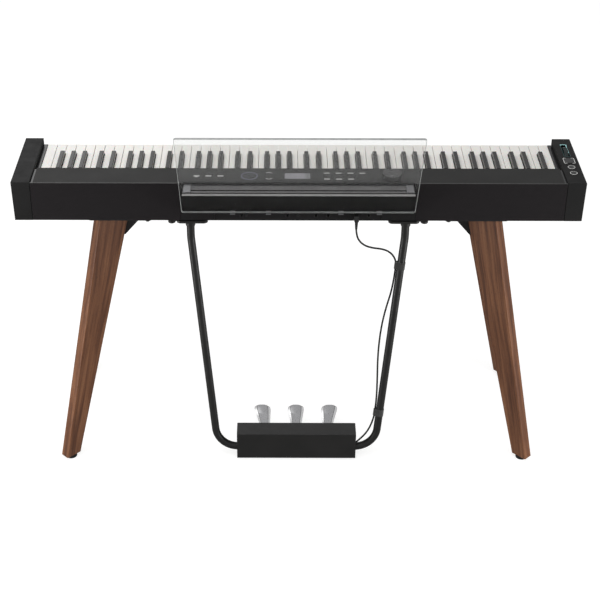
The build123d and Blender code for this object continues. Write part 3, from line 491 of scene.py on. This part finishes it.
# Lights: name, place, the point that it faces, width and height, watts
LIGHTS = (
    ("overhead", (0.7, 0.5, 3.0), (0.1, 0, 0.7), (2.4, 1.8), 31),
    ("window", (1.35, -3.1, 2.25), (0.1, 0, 0.74), (1.5, 1.5), 7),
    ("left_side", (1.5, 0.75, 0.42), (0.5, 0.15, 0.35), (0.4, 0.9), 13),
    ("right_side", (-1.5, 0.75, 0.42), (-0.5, 0.15, 0.35), (0.4, 0.9), 13),
)
FLOOR_SIDE = 400          # large enough to reach the horizon in low views
FLOOR_GLOW = 0.76         # lifts the floor to a near-white backdrop
# Grey of the surroundings on each side of the horizon, which lies at 0.5
SKY_STOPS = ((0.47, (0.27, 0.27, 0.272, 1)), (0.53, (0.56, 0.56, 0.565, 1)))


def make_camera():
    data = bpy.data.cameras.new("camera")
    data.lens = CAMERA_LENS
    data.sensor_width = CAMERA_SENSOR
    data.shift_x, data.shift_y = CAMERA_SHIFT
    camera = bpy.data.objects.new("camera", data)
    camera.location = (CAMERA_ASIDE, REAR + CAMERA_BEHIND, CAMERA_UP)
    camera.rotation_euler = Euler((radians(90 - CAMERA_PITCH), 0, radians(180 + CAMERA_YAW)))
    scene.collection.objects.link(camera)
    scene.camera = camera


def make_floor():
    finish = Finish("studio_floor", (0.9, 0.9, 0.895), 0.6, Emission_Strength=FLOOR_GLOW,
                    Emission_Color=(1.0, 1.0, 0.995, 1))
    finish.tint(finish.noise(1.5, 3.0), (0.3, (0.36, 0.36, 0.357)), (0.7, (0.37, 0.37, 0.368)))
    bpy.ops.mesh.primitive_plane_add(size=FLOOR_SIDE)
    floor = bpy.context.object
    floor.name = "studio_floor"
    floor.data.materials.append(finish.material)
    floor.visible_glossy = False


def make_surroundings():
    """An even grey all round, dimmer below the horizon."""
    world = bpy.data.worlds.new("studio")
    scene.world = world
    world.use_nodes = True
    tree = world.node_tree
    place = tree.nodes.new("ShaderNodeTexCoord")
    height = tree.nodes.new("ShaderNodeSeparateXYZ")
    level = tree.nodes.new("ShaderNodeMapRange")
    level.inputs["From Min"].default_value = -1.0
    ramp = tree.nodes.new("ShaderNodeValToRGB")
    for stop, (position, colour) in zip(ramp.color_ramp.elements, SKY_STOPS):
        stop.position, stop.color = position, colour
    tree.links.new(place.outputs["Generated"], height.inputs[0])
    tree.links.new(height.outputs["Z"], level.inputs["Value"])
    tree.links.new(level.outputs[0], ramp.inputs[0])
    tree.links.new(ramp.outputs[0], tree.nodes["Background"].inputs["Color"])
    scene.view_settings.view_transform = "Standard"


def make_lights():
    for name, at, target, size, power in LIGHTS:
        data = bpy.data.lights.new(name, "AREA")
        data.shape = "RECTANGLE"
        data.size, data.size_y = size
        data.energy = power
        lamp = bpy.data.objects.new(name, data)
        lamp.location = at
        lamp.rotation_euler = (Vector(target) - Vector(at)).to_track_quat("-Z", "Y").to_euler()
        scene.collection.objects.link(lamp)


# ---------------------------------------------------------------- pedal cable
# Route of the pedal cable: distance from the middle towards the bass end, distance in front of the
# rear face, height
CABLE_ROUTE = (
    (0.137, -0.009, 0.624), (0.1385, -0.009, 0.606), (0.147, -0.008, 0.589), (0.161, -0.006, 0.577),
    (0.179, -0.004, 0.5705), (0.2, -0.001, 0.5665), (0.2165, 0.002, 0.5585), (0.2285, 0.004, 0.546),
    (0.2363, 0.005, 0.528), (0.2349, 0.0022, 0.507), (0.2318, -0.002, 0.479), (0.2265, -0.0065, 0.447),
    (0.216, -0.0115, 0.408), (0.207, -0.018, 0.364), (0.2018, -0.025, 0.315), (0.1998, -0.032, 0.268),
    (0.2004, -0.039, 0.22), (0.2003, -0.046, 0.172), (0.1978, -0.051, 0.134), (0.1946, -0.0555, 0.11),
    (0.1875, -0.0605, 0.089), (0.178, -0.0655, 0.0715), (0.165, -0.07, 0.057), (0.1495, -0.074, 0.044),
)
CABLE_D = 0.0045


def make_cable(jacket):
    curve = bpy.data.curves.new("pedal_lead", "CURVE")
    curve.dimensions = "3D"
    curve.bevel_depth = CABLE_D / 2
    curve.bevel_resolution = 5
    curve.resolution_u = 8
    curve.use_fill_caps = True
    spline = curve.splines.new("NURBS")
    spline.points.add(len(CABLE_ROUTE) - 1)
    for point, (aside, inset, height) in zip(spline.points, CABLE_ROUTE):
        point.co = (-aside, REAR - inset, height, 1)
    spline.order_u = 3
    spline.use_endpoint_u = True
    curve.materials.append(jacket)
    lead = bpy.data.objects.new("pedal_lead", curve)
    scene.collection.objects.link(lead)
    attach(lead, "case")
    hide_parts("pedal_cable")


# ---------------------------------------------------------------- music rest
PLATE_T = 0.005
PLATE_BEVEL = 0.0005
PLATE_CORNER = 0.006


def make_rest_plate(clear, edge):
    """Clear plate with round corners and polished, slightly bevelled edges."""
    low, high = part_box("music_rest")
    up = Vector(JOINTS["music_rest_lift"]["axis"]).normalized()
    back = Vector((0, up.z, -up.y))
    foot = Vector((0, low.y, low.z + PLATE_T * up.y))
    length = (high.z - foot.z) / up.z
    width = high.x - low.x

    def ring(depth, inset):
        outline = round_outline(width - 2 * inset, length - 2 * inset, PLATE_CORNER - inset)
        return [foot + up * (length / 2 + y) + Vector((x, 0, 0)) + back * depth for x, y in outline]

    def fill(built):
        loft(built, [ring(0, PLATE_BEVEL), ring(PLATE_BEVEL, 0), ring(PLATE_T - PLATE_BEVEL, 0),
                     ring(PLATE_T, PLATE_BEVEL)])
        for face in built.faces:
            if len(face.verts) == 4:
                face.material_index = 1

    plate = piece("clear_plate", fill, [clear, edge], "music_rest", smooth=False)
    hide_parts("music_rest")


# ---------------------------------------------------------------- pedals
# Stations along a pedal: distance in front of the shaft, half width, top and underside above the shaft
PEDAL_STATIONS = (
    (-0.007, 0.0088, 0.0055, -0.0055), (0.004, 0.0090, 0.0058, -0.0055), (0.018, 0.0093, 0.0063, -0.0008),
    (0.032, 0.0100, 0.0068, 0.0004), (0.050, 0.0117, 0.0076, 0.0018), (0.068, 0.0142, 0.0086, 0.0032),
    (0.088, 0.0168, 0.0092, 0.0036), (0.108, 0.0193, 0.0090, 0.0036), (0.124, 0.0208, 0.0080, 0.0026),
    (0.136, 0.0200, 0.0064, 0.0008), (0.1435, 0.0166, 0.0048, -0.0008), (0.1475, 0.0112, 0.0036, -0.0016),
    (0.1488, 0.0054, 0.0026, -0.0016),
)
STEPS_PER_STATION = 5
PEDAL_HEELS = {"pedal_left": -0.075, "pedal_middle": 0.0, "pedal_right": 0.075}
PEDAL_FLARE = 0.014        # how far the tip of an outer pedal swings outwards
FLAT_SHARE = 0.64          # half width of the flat top, as a share of the pedal's
STEP_SHARE = 0.70        # the same, out to the foot of the narrow step beside the flat top
STEP_DEPTH = 0.0005
STRIP_COUNT = 12           # strips of faces round a pedal, one for each point of its profile
STRIP_MATERIALS = {0: 1, 10: 1, 1: 2, 9: 2}    # two narrow step strips painted dark as a painted reflection, and two flank strips, smoother and painted brighter as a painted reflection; the rest are 0
PEDAL_CREASE = radians(24)


def eased(before, here, after, beyond, t):
    """A smooth value between here and after."""
    return 0.5 * (2 * here + (after - before) * t + (2 * before - 5 * here + 4 * after - beyond) * t ** 2
                  + (3 * here - before - 3 * after + beyond) * t ** 3)


def eased_stations(stations, steps):
    """The stations with smooth ones put between them."""
    padded = (stations[0],) + stations + (stations[-1],)
    dense = []
    for group in zip(padded, padded[1:], padded[2:], padded[3:]):
        for step in range(steps):
            dense.append(tuple(eased(*values, step / steps) for values in zip(*group)))
    return dense + [stations[-1]]


def pedal_profile(half, top, under):
    """Half of a pedal's cross-section from its top down one side, then the other half upwards."""
    waist = top - (top - under) * 0.5
    right = ((half * FLAT_SHARE, top), (half * STEP_SHARE, top - STEP_DEPTH), (half - 0.0002, waist),
             (half, waist - 0.0006), (half - 0.0008, under + 0.0008), (half - 0.0026, under))
    return right + tuple((-x, z) for x, z in right[::-1])


def make_pedal(name, metal, dark_step, flank):
    """Cast pedal: a flat top, a narrow step along each side of it painted dark as a painted reflection, and wide
    flanks that are smoother and painted brighter as a painted reflection.
    """
    pivot = JOINTS[name + "_press"]["pos_m"]
    heel = PEDAL_HEELS[name]
    flare = PEDAL_FLARE * ((heel > 0) - (heel < 0))
    reach = PEDAL_STATIONS[-1][0]

    def fill(built):
        rings = []
        for along, half, top, under in eased_stations(PEDAL_STATIONS, STEPS_PER_STATION):
            middle = heel + flare * max(0.0, along) / reach
            rings.append([Vector((middle + x, pivot[1] - along, pivot[2] + z))
                          for x, z in pedal_profile(half, top, under)])
        loft(built, rings)
        for index, face in enumerate(built.faces):
            if len(face.verts) == 4:
                face.material_index = STRIP_MATERIALS.get(index % STRIP_COUNT, 0)

    made = piece(name + "_cast", fill, [metal, dark_step, flank], name)
    made.data.set_sharp_from_angle(angle=PEDAL_CREASE)
    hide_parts(name)


# ---------------------------------------------------------------- marks on the panel
MARK_T = 0.00015
# Rows of dashes: X of each, distance in front of the rear face, width, depth
DASH_ROWS = (
    ((0.239, 0.211, 0.183), 0.041, 0.0145, 0.0045),
    ((-0.067, -0.095, -0.123), 0.026, 0.0145, 0.0042),
    ((-0.067, -0.095, -0.123, -0.151), 0.057, 0.0145, 0.0036),
)
SMALL_DASH = (0.239, 0.0365, 0.006, 0.003)      # X, then the same as in a row
CHEVRONS = ((0.069, 0.0555, -1), (0.069, 0.030, 1))    # X, distance in front of the rear face, way
CHEVRON_HALF, CHEVRON_RISE, CHEVRON_ARM = 0.0075, 0.004, 0.0022
DIAL_AT = (0.115, REAR - 0.042)
DIAL_RINGS = ((0.0195, 0.0175), (0.0085, 0.0080))      # outer and inner radius


def mark(built, outline, x, inset):
    lid(built, outline, (x, REAR - inset), PANEL_TOP, PANEL_TOP + MARK_T)


def dash(built, x, inset, width, depth):
    mark(built, round_outline(width, depth, depth * 0.4, 3), x, inset)


def chevron(built, x, inset, way):
    """A wide arrow head; way is 1 for towards the rear, -1 for towards the player."""
    half, rise, arm = CHEVRON_HALF, way * CHEVRON_RISE, way * CHEVRON_ARM
    mark(built, [(-half, 0), (0, rise), (half, 0), (half, arm), (0, way * (CHEVRON_RISE + CHEVRON_ARM)),
                 (-half, arm)], x, inset)


def make_panel_marks(white, blue):
    def touch_marks(built):
        for row, inset, width, depth in DASH_ROWS:
            for x in row:
                dash(built, x, inset, width, depth)
        for x, inset, way in CHEVRONS:
            chevron(built, x, inset, way)
        dash(built, *SMALL_DASH)

    def dial(built):
        for outer, inner in DIAL_RINGS:
            band(built, circle(outer, 64), circle(inner, 64), DIAL_AT, PANEL_TOP, PANEL_TOP + MARK_T)

    piece("panel_marks", touch_marks, [white], "case", smooth=False)
    piece("panel_dial", dial, [blue], "case", smooth=False)


# ---------------------------------------------------------------- controls on the bass end block
RIM_T = 0.0004                    # how far rings and rims stand above the end block
RING_RADII = (0.0086, 0.0076)     # outer and inner
# One bracket beside the square button, about the button's middle
BRACKET = (
    (0.0132, -0.0122), (0.0132, 0.0122), (0.0112, 0.0141), (0.0062, 0.0141), (0.0062, 0.0130),
    (0.0108, 0.0130), (0.0121, 0.0117), (0.0121, -0.0117), (0.0108, -0.0130), (0.0062, -0.0130),
    (0.0062, -0.0141), (0.0112, -0.0141),
)
SLOT_INSIDE = (0.0137, 0.0657, 0.0040)     # width, depth and corner radius of the rim
SLOT_OUTSIDE = (0.0162, 0.0682, 0.0052)
SLOT_HIGHLIGHT_REACH = 0.0290                 # the rim carries a painted highlight further than this from its middle, at the player's end
# Streak down the rim's outer side, a painted highlight
SLOT_HIGHLIGHT_STREAK = ((-0.0069, -0.030), (-0.0069, 0.012), (-0.0058, 0.012), (-0.0056, -0.030))
HIGHLIGHT_STREAK_LIFT = 0.0001
HIGHLIGHT_STREAK_FACES = 6                  # faces of a lid with four corners


def middle_of(node):
    low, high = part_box(node)
    return (low.x + high.x) / 2, (low.y + high.y) / 2


def make_button_rings(pale):
    """Thin pale ring round each round button and a bracket on each side of the square one."""
    def rings(built):
        outer, inner = (circle(radius, 48) for radius in RING_RADII)
        for name in ("round_button_front", "round_button_rear"):
            band(built, outer, inner, middle_of(name), TOP, TOP + RIM_T)
        for side in (-1, 1):
            lid(built, [(side * x, y) for x, y in BRACKET], middle_of("square_button"), TOP, TOP + RIM_T)

    piece("button_rings", rings, [pale], "case", smooth=False)


def make_slot_rim(teal, painted_highlight):
    """Rim of the pitch wheel's slot, with a painted highlight at the player's end and down its outer side."""
    middle = middle_of("pitch_wheel")

    def rim(built):
        band(built, round_outline(*SLOT_OUTSIDE), round_outline(*SLOT_INSIDE), middle, TOP, TOP + RIM_T)
        for face in built.faces:
            if face.calc_center_median().y < middle[1] - SLOT_HIGHLIGHT_REACH:
                face.material_index = 1
        lid(built, SLOT_HIGHLIGHT_STREAK, middle, TOP + HIGHLIGHT_STREAK_LIFT, TOP + RIM_T + HIGHLIGHT_STREAK_LIFT)
        for face in built.faces[-HIGHLIGHT_STREAK_FACES:]:
            face.material_index = 1

    piece("wheel_slot_rim", rim, [teal, painted_highlight], "case", smooth=False)


# ---------------------------------------------------------------- pale strip along the rear edge, a painted highlight
# Cross-section of the pale strip: distance in front of the rear face, height above the rear cover
HIGHLIGHT_STRIP_PROFILE = ((0.0002, 0), (0.0002, 0.0003), (0.0006, 0.0006), (0.0016, 0.0006), (0.0021, 0.0003),
                (0.0021, 0))


def make_rear_highlight_strip(highlight_strip_finish):
    """Thin rounded pale strip on top of each rear grille, a painted highlight for the light caught by the rear top
    edge.
    """
    def strips(built):
        for name in ("speaker_fabric_bass", "speaker_fabric_treble"):
            low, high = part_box(name)
            loft(built, [[Vector((x, REAR - inset, high.z + rise)) for inset, rise in HIGHLIGHT_STRIP_PROFILE]
                         for x in (low.x, high.x)])

    piece("rear_highlight_strip", strips, [highlight_strip_finish], "case", smooth=False)


# ---------------------------------------------------------------- sockets
# Cross-section of a collar: radius beyond the bore's, distance in front of the rear face
COLLAR_PROFILE = ((0.0002, 0.004), (0.0002, 0.0005), (0.0015, 0.0005), (0.0018, 0.0009), (0.0018, 0.004))


def make_jack_collars(metal):
    """Plated collar in the mouth of each phone socket."""
    def collars(built):
        for mount in frame["record"]["mounts"]:
            if not mount["name"].startswith("phone_jack"):
                continue
            x, _, z = mount["pos_m"]
            bore = mount["dims"]["r_mm"] / 1000
            rings = [[Vector((x + right, REAR - depth, z + rise))
                      for right, rise in circle(bore + more, 32)] for more, depth in COLLAR_PROFILE]
            loft(built, rings + rings[:1], close_ends=False)
        bmesh.ops.remove_doubles(built, verts=built.verts, dist=MERGE)

    piece("jack_collars", collars, [metal], "case")


# ---------------------------------------------------------------- finishes for the CAD pieces
NATURALS = [f"key_{note}4" for note in ("c", "d", "e", "f", "g", "a", "b")]
SHARPS = [f"key_{note}4" for note in ("cs", "ds", "fs", "gs", "as")]
PEDALS = ("pedal_left", "pedal_middle", "pedal_right")


def dress(material, *names):
    for name in names:
        for slot in nodes[name].material_slots:
            slot.material = material


def dress_case():
    dress(moulded("case_plastic", (0.004, 0.0037, 0.0039), (0.006, 0.0057, 0.006), 0.55, IOR=1.32),
          "bottom_case", "rear_panel", "jack_panel")
    dress(holder_plastic(), "rest_holder")
    dress(moulded("end_block_plastic", (0.0038, 0.0037, 0.0036), (0.0056, 0.0054, 0.0053), 0.56, IOR=1.3),
          "end_block_bass", "end_block_treble")
    dress(gloss_trim(), "cheek_blocks", "top_frame")
    dress(touch_panel(), "control_panel")
    dress(display_face(), "display_window")
    dress(grille_cloth(), "speaker_fabric_bass", "speaker_fabric_treble")
    dress(moulded("socket_plastic", (0.006,) * 3, (0.010,) * 3, 0.35), "jack_sockets")
    dress(brushed("bracket_metal", (0.3, 0.3, 0.31), 0.4, (0.05, 1.0, 1.0)), "rest_brackets")
    dress(moulded("speaker_cone", (0.012,) * 3, (0.02,) * 3, 0.7), "speaker_drivers")
    dress(board_green(), "main_board")
    dress(moulded("knob_plastic", (0.014,) * 3, (0.02,) * 3, 0.3), "volume_knob")
    dress(moulded("button_plastic", (0.012,) * 3, (0.017,) * 3, 0.34),
          "square_button", "round_button_front", "round_button_rear")
    dress(moulded("wheel_plastic", (0.008, 0.014, 0.014), (0.012, 0.02, 0.02), 0.25, IOR=1.5),
          "pitch_wheel")


def dress_keys_and_steel():
    dress(ivory((0.88, 0.86, 0.815)), "white_keys_bass", "white_keys_treble", *NATURALS)
    dress(ebony(), "black_keys_bass", "black_keys_treble", *SHARPS)
    dress(brushed("zinc_steel", (0.58, 0.58, 0.6), 0.34, ALONG_X),
          "key_chassis", "pedal_shaft", "wheel_axle")


def dress_stand():
    dress(walnut(), "leg_front_bass", "leg_front_treble", "leg_rear_bass", "leg_rear_treble")
    dress(rubber("glide_rubber", 0.008), "leg_glides")
    dress(powder_coat(), "leg_brackets", "pedal_tube_bass", "pedal_tube_treble", "tube_brackets",
          "pedal_case", "pedal_base", "leg_bolts", "thumb_bolts")
    dress(strap_weave(), "cable_straps")


make_camera()
make_floor()
make_surroundings()
make_lights()
dress_case()
dress_keys_and_steel()
dress_stand()
cable_jacket = rubber("cable_rubber", 0.012)
dress(cable_jacket, "cable_plug")
make_cable(cable_jacket)
make_rest_plate(acrylic(), acrylic_edge())
# Painted reflection: the dark step strips and the brighter flanks stand in for reflections on one cast metal; the
# flanks are also smoother than the top.
pedal_metals = [brushed(name, (grey, grey, blue), roughness, ALONG_Y)
                for name, grey, blue, roughness in (("cast_pedal", 0.56, 0.57, 0.3),
                                                    ("pedal_dark_step", 0.1, 0.1, 0.5),
                                                    ("pedal_flank", 0.95, 0.95, 0.22))]
for pedal in PEDALS:
    make_pedal(pedal, *pedal_metals)
make_panel_marks(printed("mark_white", (0.55, 0.55, 0.53), 0.08),
                 printed("mark_blue", (0.15, 0.165, 0.24), 0.05))
make_button_rings(printed("ring_pale", (0.72, 0.72, 0.70), 0.15))
# The pale glowing part of the slot rim is a painted highlight.
make_slot_rim(printed("slot_teal", (0.006, 0.045, 0.045), 0.05),
              printed("slot_painted_highlight", (0.42, 0.78, 0.78), 0.35))
# The pale strip on the rear grilles is a painted highlight.
make_rear_highlight_strip(moulded("highlight_strip_plastic", (0.045, 0.045, 0.044), (0.06, 0.06, 0.058), 0.35))
make_jack_collars(moulded("collar_metal", (0.02,) * 3, (0.03,) * 3, 0.4, Metallic=0.8))
